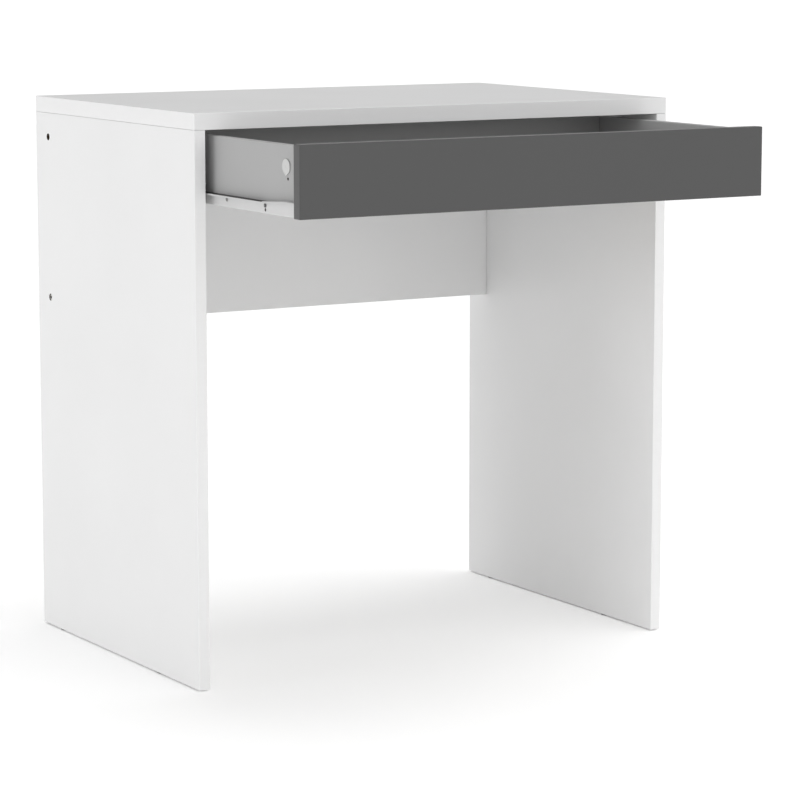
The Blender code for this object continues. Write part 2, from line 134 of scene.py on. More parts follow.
class Finish(Tree):
    # a material being made: its Principled shader and whatever feeds it
    def __init__(self, name, **fixed):
        self.material = bpy.data.materials.new(name)
        self.material.use_nodes = True
        super().__init__(self.material.node_tree)
        self.shader = self.tree.nodes["Principled BSDF"]
        for socket, value in fixed.items():
            self.feed(socket, value)
        self.place = self.add("ShaderNodeTexCoord", output="Object")

    def feed(self, socket, value):
        plug(self.tree, self.shader.inputs[socket.replace("_", " ")], value)

    def stretched(self, stretch):
        if stretch is None:
            return self.place
        return self.add("ShaderNodeMapping", values={"Vector": self.place, "Scale": stretch})

    def noise(self, scale, detail=2.0, roughness=0.5, stretch=None, distortion=0.0):
        values = {
            "Vector": self.stretched(stretch),
            "Scale": scale,
            "Detail": detail,
            "Roughness": roughness,
            "Distortion": distortion,
        }
        return self.add("ShaderNodeTexNoise", values=values)

    def cells(self, scale, output="Distance", stretch=None):
        values = {"Vector": self.stretched(stretch), "Scale": scale}
        return self.add("ShaderNodeTexVoronoi", values=values, output=output)

    def grey(self, colour):
        return self.add("ShaderNodeRGBToBW", values={"Color": colour})

    def mix(self, amount, first, second):
        values = {0: amount, 6: first, 7: second}  # factor and the two colours
        return self.add("ShaderNodeMix", {"data_type": "RGBA"}, values, output=2)

    def bump(self, height, distance):
        values = {"Strength": 1.0, "Distance": distance, "Height": height}
        self.feed("Normal", self.add("ShaderNodeBump", values=values))


def shade(colour, factor):
    return tuple(channel * factor for channel in colour)


pearl = {"scale": 1500, "wider": 6, "deep": 0.000018, "cloud": 5, "tint": 0.018, "uneven": 0.06}


def melamine(name, colour, roughness, sheen=0.0):
    # printed paper under a pressed pearl texture: tiny pebbles and a faint clouding
    made = Finish(name, Specular_IOR_Level=0.45, Coat_Weight=sheen, Coat_Roughness=0.25)
    cloud = made.noise(pearl["cloud"], detail=4)
    pebble = made.noise(pearl["scale"], detail=3, roughness=0.6)
    wide = made.noise(pearl["scale"] / pearl["wider"])
    tone = (cloud - 0.5).soft(-0.25, 0.25)
    pale = shade(colour, 1 + pearl["tint"])
    deep = shade(colour, 1 - pearl["tint"])
    made.feed("Base Color", made.mix(tone, deep, pale))
    made.feed("Roughness", (pebble - 0.5 + (cloud - 0.5)) * pearl["uneven"] + roughness)
    made.bump(pebble + wide * 0.5, pearl["deep"])
    return made.material


band = {"streak": 40, "long": 12, "grain": 900, "deep": 0.000012, "tint": 0.015, "uneven": 0.08}


def edgeBand(name, colour, roughness):
    # extruded plastic strip: faint lengthwise drawing marks, a little smoother than the face
    made = Finish(name, Specular_IOR_Level=0.5)
    streak = made.noise(band["streak"], detail=3, stretch=(1, 1, band["long"]))
    pale = shade(colour, 1 + band["tint"])
    deep = shade(colour, 1 - band["tint"])
    made.feed("Base Color", made.mix(streak, deep, pale))
    made.feed("Roughness", (streak - 0.5) * band["uneven"] + roughness)
    made.bump(made.noise(band["grain"]), band["deep"])
    return made.material


chips = {
    "flake": 420,
    "fibre": 1300,
    "deep": 0.00015,
    "dark": (0.30, 0.19, 0.10),
    "pale": (0.62, 0.46, 0.29),
    "dust": (0.48, 0.34, 0.20),
}


def chipboard(name, tone=1.0):
    # pressed flakes, seen in the mouths of the drilled holes and on raw ends
    made = Finish(name, Specular_IOR_Level=0.25)
    flake = made.grey(made.cells(chips["flake"], output="Color", stretch=(1, 1, 2.2)))
    fibre = made.noise(chips["fibre"], detail=5, roughness=0.7, stretch=(1, 0.4, 1))
    tan = made.mix(flake, shade(chips["dark"], tone), shade(chips["pale"], tone))
    made.feed("Base Color", made.mix(fibre.soft(0.35, 0.75), tan, shade(chips["dust"], tone)))
    made.feed("Roughness", fibre * 0.2 + 0.75)
    made.bump(flake + fibre, chips["deep"])
    return made.material


lacquer = {"felt": 260, "cloud": 7, "tint": 0.05, "nap": 1.15, "deep": 0.00005}


def lacqueredBoard(name, colour):
    # thin drawer floor: lacquer over felted fibre, so the fibre still telegraphs through
    made = Finish(name, Specular_IOR_Level=0.4)
    felt = made.noise(lacquer["felt"], detail=6, roughness=0.65, distortion=0.4)
    cloud = made.noise(lacquer["cloud"], detail=3)
    tone = made.mix(cloud, shade(colour, 1 - lacquer["tint"]), shade(colour, 1 + lacquer["tint"]))
    nap = shade(colour, lacquer["nap"])
    made.feed("Base Color", made.mix(felt.soft(0.3, 0.8) * 0.25, tone, nap))
    made.feed("Roughness", felt * 0.18 + 0.40)
    made.bump(felt, lacquer["deep"])
    return made.material


hardboard = {
    "mesh": 0.0016,
    "fibre": 300,
    "deep": 0.00012,
    "dark": (0.26, 0.235, 0.205),
    "pale": (0.40, 0.37, 0.33),
}


def rawHardboard(name):
    # unlacquered back of the drawer floor, with the mesh pattern of the press
    made = Finish(name, Specular_IOR_Level=0.2)
    waves = 2 * pi / hardboard["mesh"]
    across, along, _ = made.split(made.place)
    screen = (across * waves).math("SINE") * (along * waves).math("SINE") * 0.5 + 0.5
    fibre = made.noise(hardboard["fibre"], detail=6, roughness=0.7)
    made.feed("Base Color", made.mix(fibre, hardboard["dark"], hardboard["pale"]))
    made.feed("Roughness", fibre * 0.15 + 0.72)
    made.bump(screen * 0.6 + fibre, hardboard["deep"])
    return made.material


powder = {"peel": 700, "speck": 900, "drift": 14, "tint": 0.04, "speckTone": 0.7, "deep": 0.00006}


def powderCoat(name, colour, roughness):
    # baked powder on sheet steel: soft orange peel and a few fine specks
    made = Finish(name, Specular_IOR_Level=0.55, Coat_Weight=0.25, Coat_Roughness=0.2)
    peel = made.noise(powder["peel"], roughness=0.45)
    speck = (0.09 - made.cells(powder["speck"])).soft(0, 0.05) * 0.25
    drift = made.noise(powder["drift"], detail=3)
    tone = made.mix(drift, shade(colour, 1 - powder["tint"]), shade(colour, 1 + powder["tint"]))
    made.feed("Base Color", made.mix(speck, tone, shade(colour, powder["speckTone"])))
    made.feed("Roughness", (peel - 0.5) * 0.12 + roughness)
    made.bump(peel, powder["deep"])
    return made.material


plating = {
    "spangle": 650,
    "scuff": 1100,
    "dull": 0.88,
    "bright": 1.1,
    "passivation": (1.05, 1.03, 0.97),  # a hint of yellow
    "deep": 0.00003,
}


def platedSteel(name, colour, roughness):
    # zinc plate: cloudy spangle, brushed in the barrel
    made = Finish(name, Metallic=1.0)
    spangle = made.grey(made.cells(plating["spangle"], output="Color"))
    scuff = made.noise(plating["scuff"], detail=4, roughness=0.7)
    warm = tuple(channel * gain for channel, gain in zip(colour, plating["passivation"]))
    tint = made.mix(scuff, shade(colour, plating["dull"]), warm)
    made.feed("Base Color", made.mix(spangle * 0.2, tint, shade(colour, plating["bright"])))
    made.feed("Roughness", spangle * 0.1 + scuff * 0.14 + roughness)
    made.bump(scuff, plating["deep"])
    return made.material


casting = {
    "grain": 1600,
    "stain": 180,
    "deep": 0.00008,
    "dark": (0.40, 0.40, 0.41),
    "pale": (0.56, 0.56, 0.56),
}


def dieCast(name):
    # cast zinc: dull, grainy skin
    made = Finish(name, Metallic=1.0)
    grain = made.noise(casting["grain"], detail=5, roughness=0.75)
    stain = made.noise(casting["stain"], detail=3)
    made.feed("Base Color", made.mix(stain, casting["dark"], casting["pale"]))
    made.feed("Roughness", grain * 0.25 + 0.38)
    made.bump(grain, casting["deep"])
    return made.material


moulding = {"spark": 900, "flow": 60, "tint": 0.03, "deep": 0.00003}


def mouldedPlastic(name, colour, roughness, spark=moulding["spark"]):
    # injection moulding: spark-eroded grain and a slight flow shading
    made = Finish(name, Specular_IOR_Level=0.5)
    grain = made.noise(spark, detail=3, roughness=0.6)
    flow = made.noise(moulding["flow"], distortion=1.2)
    pale = shade(colour, 1 + moulding["tint"])
    made.feed("Base Color", made.mix(flow, shade(colour, 1 - moulding["tint"]), pale))
    made.feed("Roughness", (grain - 0.5) * 0.15 + roughness)
    made.bump(grain, moulding["deep"])
    return made.material


beech = {
    "grain": 220,
    "fleck": 500,
    "deep": 0.00008,
    "dark": (0.52, 0.34, 0.19),
    "pale": (0.70, 0.51, 0.32),
    "ray": (0.36, 0.21, 0.11),
}


def beechWood(name):
    # pale wood with short darker flecks along the peg
    made = Finish(name, Specular_IOR_Level=0.3)
    grain = made.noise(beech["grain"], detail=5, roughness=0.65, stretch=(4, 4, 0.6))
    fleck = (0.16 - made.cells(beech["fleck"], stretch=(3, 3, 0.5))).soft(0, 0.1) * 0.6
    tone = made.mix(grain, beech["dark"], beech["pale"])
    made.feed("Base Color", made.mix(fleck, tone, beech["ray"]))
    made.feed("Roughness", grain * 0.2 + 0.55)
    made.bump(grain, beech["deep"])
    return made.material


tones = {
    "white": (0.80, 0.80, 0.80),
    "graphite": (0.062, 0.062, 0.062),
    "grey": (0.39, 0.39, 0.39),
    "drawerFloor": (0.40, 0.40, 0.40),
    "rail": (0.56, 0.56, 0.56),
    "zinc": (0.62, 0.62, 0.61),
    "darkZincAndRecessShadeTone": (0.30, 0.30, 0.30),
    "blackZinc": (0.12, 0.12, 0.125),
    "paintedShadeSteel": (0.10, 0.10, 0.10),
    "disc": (0.57, 0.57, 0.565),
    "roller": (0.78, 0.78, 0.76),
    "glide": (0.18, 0.18, 0.18),
}

whiteFace = melamine("whiteMelamine", tones["white"], 0.46)
whiteEdge = edgeBand("whiteEdgeBand", shade(tones["white"], 1.01), 0.38)
graphiteFace = melamine("graphiteMelamine", tones["graphite"], 0.42, sheen=0.05)
graphiteEdge = edgeBand("graphiteEdgeBand", shade(tones["graphite"], 0.95), 0.30)
greyFace = melamine("greyFoil", tones["grey"], 0.48)
greyEdge = edgeBand("greyEdgeBand", shade(tones["grey"], 1.06), 0.42)
coreFace = chipboard("chipboardCore")
paintedShadeCore = chipboard("paintedShadeCore", 0.12)  # chipboard darkened to near black: painted shade on the walls of open recesses and small holes
floorLacquer = lacqueredBoard("greyLacquer", tones["drawerFloor"])
floorBack = rawHardboard("hardboardBack")
railPaint = powderCoat("railPowderCoat", tones["rail"], 0.34)
zincPlate = platedSteel("zincPlate", tones["zinc"], 0.26)
# darker zinc: the whole head of the rear runner screws, and painted shade on the walls of cross and
# hexagon recesses
darkZincAndRecessShade = platedSteel("darkZincAndRecessShade", tones["darkZincAndRecessShadeTone"], 0.35)
blackPlate = platedSteel("blackPlate", tones["blackZinc"], 0.40)
# near-black steel for the top of the runner shelf: a painted shade line
shadeLineSteel = platedSteel("paintedShadeTrack", tones["paintedShadeSteel"], 0.45)
camMetal = dieCast("dieCastZinc")
whitePlastic = mouldedPlastic("whitePlastic", tones["disc"], 0.38)
rollerPlastic = mouldedPlastic("rollerAcetal", tones["roller"], 0.40, spark=1200)
glidePlastic = mouldedPlastic("glidePlastic", tones["glide"], 0.42)
pegWood = beechWood("beech")
print("finishes made:", len(bpy.data.materials))


def centreOf(node):
    low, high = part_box(node)
    return (low + high) / 2


def sizeOf(node):
    low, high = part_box(node)
    return high - low


def endOf(node, direction):
    # the middle of a fitting's end on that side, and its length across the desk
    low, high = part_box(node)
    spot = (low + high) / 2
    spot.x = high.x if direction > 0 else low.x
    return spot, high.x - low.x


def hold(name, bm, *materials):
    # a mesh object at the origin, its place in its mesh
    mesh = bpy.data.meshes.new(name)
    bm.to_mesh(mesh)
    bm.free()
    for material in materials:
        mesh.materials.append(material)
    made = bpy.data.objects.new(name, mesh)
    bpy.context.scene.collection.objects.link(made)
    return made


def settle(piece):
    # keeps what the modifiers make and drops the modifiers
    graph = bpy.context.evaluated_depsgraph_get()
    done = bpy.data.meshes.new_from_object(piece.evaluated_get(graph))
    piece.modifiers.clear()
    piece.data = done
    done.name = piece.name


def carve(piece, cutters, operation="DIFFERENCE"):
    for cutter in cutters:
        tool = piece.modifiers.new("carve", "BOOLEAN")
        tool.operation = operation
        tool.solver = "EXACT"
        tool.material_mode = "TRANSFER"
        tool.object = cutter
    settle(piece)
    for cutter in cutters:
        bpy.data.objects.remove(cutter, do_unlink=True)


def evenShading(piece, angle=35):
    # smooth roundings beside flat faces, without a gradient over the flats
    piece.data.shade_smooth()
    piece.data.set_sharp_from_angle(angle=radians(angle))
    tool = piece.modifiers.new("weigh", "WEIGHTED_NORMAL")
    tool.keep_sharp = True
    settle(piece)


def keepSharp(piece):
    piece.data.set_sharp_from_angle(angle=radians(40))


def soften(bm, edges, offset, steps):
    bmesh.ops.bevel(
        bm, geom=edges, offset=offset, segments=steps, profile=0.5, affect="EDGES", material=-1
    )


def declare(piece, node):
    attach(piece, nodes[node]["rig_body"])
    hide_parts(node)


def slab(low, high):
    # the mesh of a plain board between two corners, still to be worked
    bm = bmesh.new()
    bmesh.ops.create_cube(bm, size=1)
    bmesh.ops.scale(bm, vec=high - low, verts=bm.verts)
    bmesh.ops.translate(bm, vec=(low + high) / 2, verts=bm.verts)
    return bm


def turnTo(direction):
    return Vector(direction).to_track_quat("Z", "Y").to_matrix().to_4x4()


def drill(centre, axis, radius, length, material=coreFace, steps=40):
    # a round cutter, its walls in the material that it leaves behind
    bm = bmesh.new()
    bmesh.ops.create_cone(
        bm, cap_ends=True, segments=steps, radius1=radius, radius2=radius, depth=length
    )
    bmesh.ops.transform(bm, matrix=Matrix.Translation(centre) @ turnTo(axis), verts=bm.verts)
    return hold("drill", bm, material)


pocket = {"grow": 0.0003, "past": 0.001, "threadRoom": 0.0008, "shallow": 0.0003}


def pocketFor(node, axis, grow=pocket["grow"], past=pocket["past"], material=coreFace):
    # room for a fastener, a little wider and longer than it is
    size = sizeOf(node)
    across = [size[other] for other in range(3) if other != axis]
    direction = [0, 0, 0]
    direction[axis] = 1
    length = size[axis] + 2 * past
    return drill(centreOf(node), direction, max(across) / 2 + grow, length, material)


def turned(name, outline, material, steps=48, ring=False):
    # spins (radius, height) points about Z
    bm = bmesh.new()
    points = [bm.verts.new((radius, 0, height)) for radius, height in outline]
    following = points[1:] + points[:1] if ring else points[1:]
    edges = [bm.edges.new(pair) for pair in zip(points, following)]
    bmesh.ops.spin(
        bm,
        geom=points + edges,
        cent=(0, 0, 0),
        axis=(0, 0, 1),
        angle=2 * pi,
        steps=steps,
        use_merge=True,
    )
    bmesh.ops.remove_doubles(bm, verts=bm.verts, dist=1e-6)
    bmesh.ops.recalc_face_normals(bm, faces=bm.faces)
    made = hold(name, bm, material)
    made.data.shade_smooth()
    keepSharp(made)
    return made


def setDown(piece, spot, direction):
    # turns a piece made along Z and moves it to its place, in its mesh
    piece.data.transform(Matrix.Translation(spot) @ turnTo(direction))
    piece.data.update()


board = {
    "white": (whiteFace, whiteEdge, "white_board"),
    "graphite": (graphiteFace, graphiteEdge, "graphite_board"),
    "grey": (greyFace, greyEdge, "grey_board"),
    "round": 0.0008,
    "frontRound": 0.0012,
    "roundSteps": 3,
    "crisp": 0.00018,
    "crispSteps": 2,
    "jointWide": 0.00022,
    "jointDeep": 0.00006,
}
bottom, top = (2, False), (2, True)  # the ends of a board, as axis and whether it is the upper one
leftEnd, rightEnd = (0, False), (0, True)
frontEnd = (1, False)


def onEnd(edge, low, high, end):
    axis, upper = end
    level = high[axis] if upper else low[axis]
    return all(abs(vert.co[axis] - level) < 1e-6 for vert in edge.verts)


def makeBoard(node, thin, kind, cutters, butted=(), rounding=board["round"]):
    # faced board with a rounded band round its narrow edges and a hairline joint between them;
    # the ends that butt against a neighbour stay crisp
    face, edging, slot = board[kind]
    low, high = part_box(node)
    bm = slab(low, high)
    rounded = [e for e in bm.edges if not any(onEnd(e, low, high, end) for end in butted)]
    soften(bm, rounded, rounding, board["roundSteps"])
    bends = [edge for edge in bm.edges if edge.calc_face_angle() > 0.3]
    crisp = [edge for edge in bends if any(onEnd(edge, low, high, end) for end in butted)]
    if crisp:
        soften(bm, crisp, board["crisp"], board["crispSteps"])
    broad = [item for item in bm.faces if abs(item.normal[thin]) > 0.999]
    for item in bm.faces:
        item.material_index = 1
    bmesh.ops.inset_individual(
        bm, faces=broad, thickness=board["jointWide"], depth=-board["jointDeep"]
    )
    for item in broad:
        item.material_index = 0
    piece = hold(node + "_faced", bm, face, edging)
    carve(piece, cutters)
    evenShading(piece)
    declare(piece, node)


def makeTop():
    cutters = []
    for word in sides:
        for end in ends:
            cutters.append(pocketFor(f"cam_bolt_{end}_{word}", 2))
            cutters.append(pocketFor(f"top_dowel_{end}_{word}", 2))
    makeBoard("top_panel", 2, "white", cutters, butted=[bottom])


sidePanel = {"screwPast": 0.006, "nailHole": 0.0015, "nailPast": 0.001}


def makeSidePanel(word):
    cutters = []
    for end in ends:
        cutters.append(pocketFor(f"cam_{end}_{word}", 0))
        cutters.append(pocketFor(f"cam_bolt_{end}_{word}", 2, grow=pocket["threadRoom"]))
        cutters.append(pocketFor(f"top_dowel_{end}_{word}", 2))
        cutters.append(pocketFor(f"channel_screw_{end}_{word}", 0, past=pocket["shallow"]))
        foot = f"glide_{end}_{word}"
        length = sizeOf(foot).z + sidePanel["nailPast"]
        cutters.append(drill(centreOf(foot), (0, 0, 1), sidePanel["nailHole"], length))
    for level in levels:
        fixing = f"modesty_screw_{level}_{word}"
        # the connector's recess wall gets the darkened core: painted shade
        cutters.append(pocketFor(fixing, 0, past=sidePanel["screwPast"], material=paintedShadeCore))
    makeBoard("side_panel_" + word, 0, "white", cutters, butted=[top])


def makeModesty():
    cutters = []
    for level in levels:
        cutters += [pocketFor(f"modesty_screw_{level}_{word}", 0) for word in sides]
    makeBoard("modesty_panel", 1, "white", cutters, butted=[top, leftEnd, rightEnd])


groove = {"grow": 0.0003, "runOut": 0.02}


def floorGroove(runsOut=True):
    # the groove that the drawer floor lies in; in the drawer sides it runs out behind
    low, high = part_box("drawer_bottom")
    grow = groove["grow"]
    spread = Vector((grow, groove["runOut"] if runsOut else grow, grow))
    return hold("block", slab(low - spread, high + spread), coreFace)


def makeDrawerFront():
    cutters = [floorGroove(runsOut=False)]
    for word in sides:
        cutters.append(pocketFor("front_bolt_" + word, 1))
        cutters.append(pocketFor("front_dowel_" + word, 1))
    makeBoard("drawer_front", 1, "graphite", cutters, rounding=board["frontRound"])


drawerSide = {
    "discBelow": 0.0098,  # from the top of the disc to the middle of its hole
    "discHole": 0.0075,
    "discDeep": 0.0105,
    "discShift": 0.004,
    "spareHole": 0.0020,
    "spareLong": 0.016,
    "spareDown": 0.0151,
    "spareAhead": 0.003,
    "pilotHole": 0.0013,
    "pilotLong": 0.010,
    "backPast": 0.003,
}


def makeDrawerSide(word, side):
    node = "drawer_side_" + word
    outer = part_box(node)[0 if side < 0 else 1].x
    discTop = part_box("cam_disc_" + word)[1].z
    middle = Vector((outer, centreOf("cam_disc_" + word).y, discTop - drawerSide["discBelow"]))
    inward = Vector((side * drawerSide["discShift"], 0, 0))
    spare = middle - Vector((0, drawerSide["spareAhead"], drawerSide["spareDown"]))
    pilot = centreOf("runner_screw_front_" + word) - Vector((0, 0, runner["pilotDown"]))
    pilot.x = outer
    across = (1, 0, 0)
    cutters = [
        floorGroove(),
        pocketFor("front_bolt_" + word, 1),
        pocketFor("front_dowel_" + word, 1),
        drill(middle - inward, across, drawerSide["discHole"], drawerSide["discDeep"]),
        # the spare hole and the pilot hole get the darkened core on their walls: painted shade
        drill(spare, across, drawerSide["spareHole"], drawerSide["spareLong"], paintedShadeCore),
        drill(pilot, across, drawerSide["pilotHole"], drawerSide["pilotLong"], paintedShadeCore),
    ]
    for end in ends:
        cutters.append(pocketFor(f"runner_screw_{end}_{word}", 0, past=pocket["shallow"]))
    for level in levels:
        cutters.append(pocketFor(f"back_screw_{level}_{word}", 0, past=drawerSide["backPast"]))
    makeBoard(node, 0, "grey", cutters, butted=[frontEnd])


def makeDrawerBack():
    cutters = []
    for level in levels:
        cutters += [pocketFor(f"back_screw_{level}_{word}", 0) for word in sides]
    makeBoard("drawer_back", 1, "grey", cutters, butted=[leftEnd, rightEnd])


drawerFloor = {"round": 0.0003, "steps": 2}


def makeDrawerFloor():
    # lacquered above, raw fibre below and on its edges
    bm = slab(*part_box("drawer_bottom"))
    soften(bm, bm.edges[:], drawerFloor["round"], drawerFloor["steps"])
    for face in bm.faces:
        face.material_index = 0 if face.normal.z > 0.9 else 1
    piece = hold("drawer_bottom_lacquered", bm, floorLacquer, floorBack)
    evenShading(piece)
    declare(piece, "drawer_bottom")


rail = {"sheet": 0.0012, "bendSteps": 3, "deburr": 0.00015, "axleHole": 0.0023, "drillLong": 0.006}
runner = {
    "bend": 0.0009,
    "flatRaised": 0.028,
    "rampEnd": 0.086,
    "rise": 0.004,
    "lipDown": 0.0016,
    "footReach": 0.0107,
    "earRise": 0.0058,
    "rollerRoom": 0.002,
    "screwHole": 0.0018,
    "pilotHole": 0.0021,
    "pilotDown": 0.0055,
}


def extrudeEdges(bm, edges, offset):
    # pulls a row of edges along and gives back the new row
    made = bmesh.ops.extrude_edge_only(bm, edges=edges)["geom"]
    fresh = [item for item in made if isinstance(item, bmesh.types.BMVert)]
    bmesh.ops.translate(bm, vec=offset, verts=fresh)
    drawn = [item for item in made if isinstance(item, bmesh.types.BMEdge)]
    return [edge for edge in drawn if all(vert in fresh for vert in edge.verts)]


def bendSheet(bm, radius):
    # rounds the bends that run along the rail
    bends = [
        edge
        for edge in bm.edges
        if len(edge.link_faces) == 2
        and edge.calc_face_angle() > radians(60)
        and abs(edge.verts[0].co.y - edge.verts[1].co.y) > 0.001
    ]
    soften(bm, bends, radius, rail["bendSteps"])


def railHole(node, web, radius, offset=(0, 0, 0), material=railPaint):
    # a hole through the web of a rail, level with one of its fittings
    spot = centreOf(node)
    spot.x = web
    return drill(spot + Vector(offset), (1, 0, 0), radius, rail["drillLong"], material)


def sheetMetal(name, bm, cutters):
    # gives a bent sheet its thickness, equally to both sides, and softens the cut edges
    bmesh.ops.recalc_face_normals(bm, faces=bm.faces)
    piece = hold(name, bm, railPaint)
    skin = piece.modifiers.new("thickness", "SOLIDIFY")
    skin.thickness = rail["sheet"]
    skin.offset = 0
    skin.use_even_offset = True
    settle(piece)
    carve(piece, cutters)
    edge = piece.modifiers.new("deburr", "BEVEL")
    edge.width = rail["deburr"]
    edge.segments = 2
    edge.profile = 0.5
    edge.limit_method = "ANGLE"
    edge.angle_limit = radians(50)
    edge.use_clamp_overlap = True
    settle(piece)
    evenShading(piece, angle=50)
    return piece


def makeRunnerRail(word, side):
    # foot under the drawer side, web up its face and a shelf with a lip, ramped up at the front
    node = "runner_rail_" + word
    low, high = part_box(node)
    half = rail["sheet"] / 2
    foot = low.x if side > 0 else high.x
    shelf = (high.x if side > 0 else low.x) - side * half
    web = foot + side * (runner["footReach"] - half)
    floorLevel = low.z + half
    shelfLevel = high.z - runner["earRise"] - half
    raised = shelfLevel + runner["rise"]
    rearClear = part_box("rear_roller_" + word)[0].y - runner["rollerRoom"]
    bm = bmesh.new()
    path = [
        (foot, floorLevel),
        (web, floorLevel),
        (web, raised),
        (shelf, raised),
        (shelf, raised - runner["lipDown"] - half),
    ]
    points = [bm.verts.new((x, low.y, z)) for x, z in path]
    row = [bm.edges.new(pair) for pair in zip(points, points[1:])]
    row = extrudeEdges(bm, row, (0, runner["flatRaised"], 0))
    row = extrudeEdges(bm, row, (0, runner["rampEnd"] - runner["flatRaised"], 0))
    upper = {vert for edge in row for vert in edge.verts if vert.co.z > floorLevel + 0.004}
    bmesh.ops.translate(bm, vec=(0, 0, -runner["rise"]), verts=list(upper))
    row = extrudeEdges(bm, row, (0, rearClear - low.y - runner["rampEnd"], 0))
    kept = [edge for edge in row if all((v.co.x - web) * side < 0.0002 for v in edge.verts)]
    extrudeEdges(bm, kept, (0, high.y - rearClear, 0))
    ear = [  # the top of the web behind the shelf, which carries the rear roller
        edge
        for edge in bm.edges
        if edge.is_boundary
        and all(abs(vert.co.x - web) < 1e-5 for vert in edge.verts)
        and all(vert.co.z > shelfLevel - 1e-4 for vert in edge.verts)
        and all(vert.co.y > rearClear - 1e-5 for vert in edge.verts)
    ]
    extrudeEdges(bm, ear, (0, 0, runner["earRise"] + half))
    bendSheet(bm, runner["bend"])
    front = "runner_screw_front_" + word
    pilotSpot = (0, 0, -runner["pilotDown"])
    cutters = [
        railHole(front, web, runner["screwHole"]),
        # the pilot hole's wall gets the darkened core: painted shade
        railHole(front, web, runner["pilotHole"], pilotSpot, paintedShadeCore),
        railHole("runner_screw_rear_" + word, web, runner["screwHole"]),
        railHole("rear_axle_" + word, web, rail["axleHole"]),
    ]
    piece = sheetMetal(node + "_bent", bm, cutters)
    piece.data.materials.append(shadeLineSteel)
    shadeLineIndex = len(piece.data.materials) - 1
    for face in piece.data.polygons:  # behind the ramp the top of the shelf gets near-black steel: a painted shade line along the rail's top
        across = (face.center.x - web) * side
        behind = face.center.y > low.y + runner["rampEnd"] - 0.001
        if behind and face.normal.z > 0.55 and across > 0.0004 and face.center.z > shelfLevel:
            face.material_index = shadeLineIndex
    declare(piece, node)


channel = {
    "bend": 0.0010,
    "rollerUnder": 0.0003,
    "rollerRoom": 0.003,
    "screwHole": 0.0028,
    "slotRadius": 0.0024,
    "slotLong": 0.009,
    "slotBehind": 0.032,
    "spareHole": 0.0021,
    "spareBehind": 0.064,
}


def makeChannelRail(word, side):
    # C of sheet steel: full lower shelf only behind the front roller, a stop hook, spare slots
    node = "channel_rail_" + word
    low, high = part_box(node)
    half = rail["sheet"] / 2
    web = (high.x if side > 0 else low.x) - side * half
    across = (low.x if side > 0 else high.x) - web
    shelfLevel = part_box("rear_roller_" + word)[0].z - channel["rollerUnder"] - half
    topLevel = high.z - half
    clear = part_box("front_roller_" + word)[1].y + channel["rollerRoom"]
    bm = bmesh.new()
    points = [bm.verts.new((web, low.y, level)) for level in (shelfLevel, topLevel)]
    row = extrudeEdges(bm, [bm.edges.new(points)], (0, clear - low.y, 0))
    extrudeEdges(bm, row, (0, high.y - clear, 0))
    upper = [e for e in bm.edges if all(v.co.z > topLevel - 1e-5 for v in e.verts)]
    lower = [e for e in bm.edges if all(v.co.z < shelfLevel + 1e-5 for v in e.verts)]
    extrudeEdges(bm, upper, (across, 0, 0))
    rear = [e for e in lower if all(v.co.y > clear - 1e-5 for v in e.verts)]
    nose = [e for e in lower if e not in rear]
    extrudeEdges(bm, rear, (across, 0, 0))
    extrudeEdges(bm, nose, (0, 0, low.z - shelfLevel))
    bendSheet(bm, channel["bend"])
    cutters = []
    for end in ends:
        fixing = f"channel_screw_{end}_{word}"
        cutters.append(railHole(fixing, web, channel["screwHole"]))
        cutters.append(makeSlot(Vector((web, *centreOf(fixing).yz))))
        behind = (0, channel["spareBehind"], 0)
        cutters.append(railHole(fixing, web, channel["spareHole"], behind))
    cutters.append(railHole("front_axle_" + word, web, rail["axleHole"]))
    piece = sheetMetal(node + "_bent", bm, cutters)
    addHook(piece, word, web, across, topLevel)
    declare(piece, node)


def makeSlot(fixing):
    # oblong cutter that runs along the rail, a little behind a screw
    radius = channel["slotRadius"]
    bm = bmesh.new()
    bmesh.ops.create_cone(
        bm, cap_ends=True, segments=32, radius1=radius, radius2=radius, depth=rail["drillLong"]
    )
    for vert in bm.verts:
        vert.co.y += (channel["slotLong"] / 2 - radius) * (1 if vert.co.y > 0 else -1)
    place = Matrix.Translation(fixing + Vector((0, channel["slotBehind"], 0)))
    bmesh.ops.transform(bm, matrix=place @ Matrix.Rotation(pi / 2, 4, "Y"), verts=bm.verts)
    return hold("slot", bm, railPaint)


hook = {
    "down": 0.0050,
    "thick": 0.0012,
    "from": 0.2,
    "lap": 0.0002,
    "round": 0.0002,
    "touch": 0.0056,  # height at which the rear roller meets it, from the roller's middle
    "shift": 0.002,
    "gap": 0.0003,
}


def addHook(piece, word, web, across, topLevel):
    # tab bent down from the top shelf, where the rear roller comes to rest
    low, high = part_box("rear_roller_" + word)
    radius = (high.z - low.z) / 2
    reach = (radius**2 - hook["touch"] ** 2) ** 0.5
    back = (low.y + high.y) / 2 - hook["shift"] - reach - hook["gap"]
    near = web + across * hook["from"]
    far = web + across
    lowest = Vector((min(near, far), back - hook["thick"], topLevel - hook["down"]))
    highest = Vector((max(near, far), back, topLevel + hook["lap"]))
    tab = hold("tab", slab(lowest, highest), railPaint)
    edge = tab.modifiers.new("deburr", "BEVEL")
    edge.width = hook["round"]
    edge.segments = 2
    settle(tab)
    carve(piece, [tab], "UNION")
    evenShading(piece, angle=50)


roller = {
    "steps": 64,
    "hub": ((0.0023, 0.0002), (0.0025, 0), (0.0042, 0), (0.0044, 0.0006)),
    "backRim": ((0.0018, 0.0006), (0.0015, 0), (0.0006, 0), (0.0002, 0.0002), (0.00005, 0.0007)),
    "tread": (0.35, 0.65),
    "frontRim": ((0.00005, 0.0007), (0.0002, 0.0002), (0.0006, 0), (0.0015, 0), (0.0018, 0.0005)),
    "dishEdge": ((0.0047, 0.0005), (0.0045, 0), (0.0040, 0), (0.0039, 0.0002)),
    "dish": ((0.0039, 0.0016), (0.0023, 0.0016)),
}


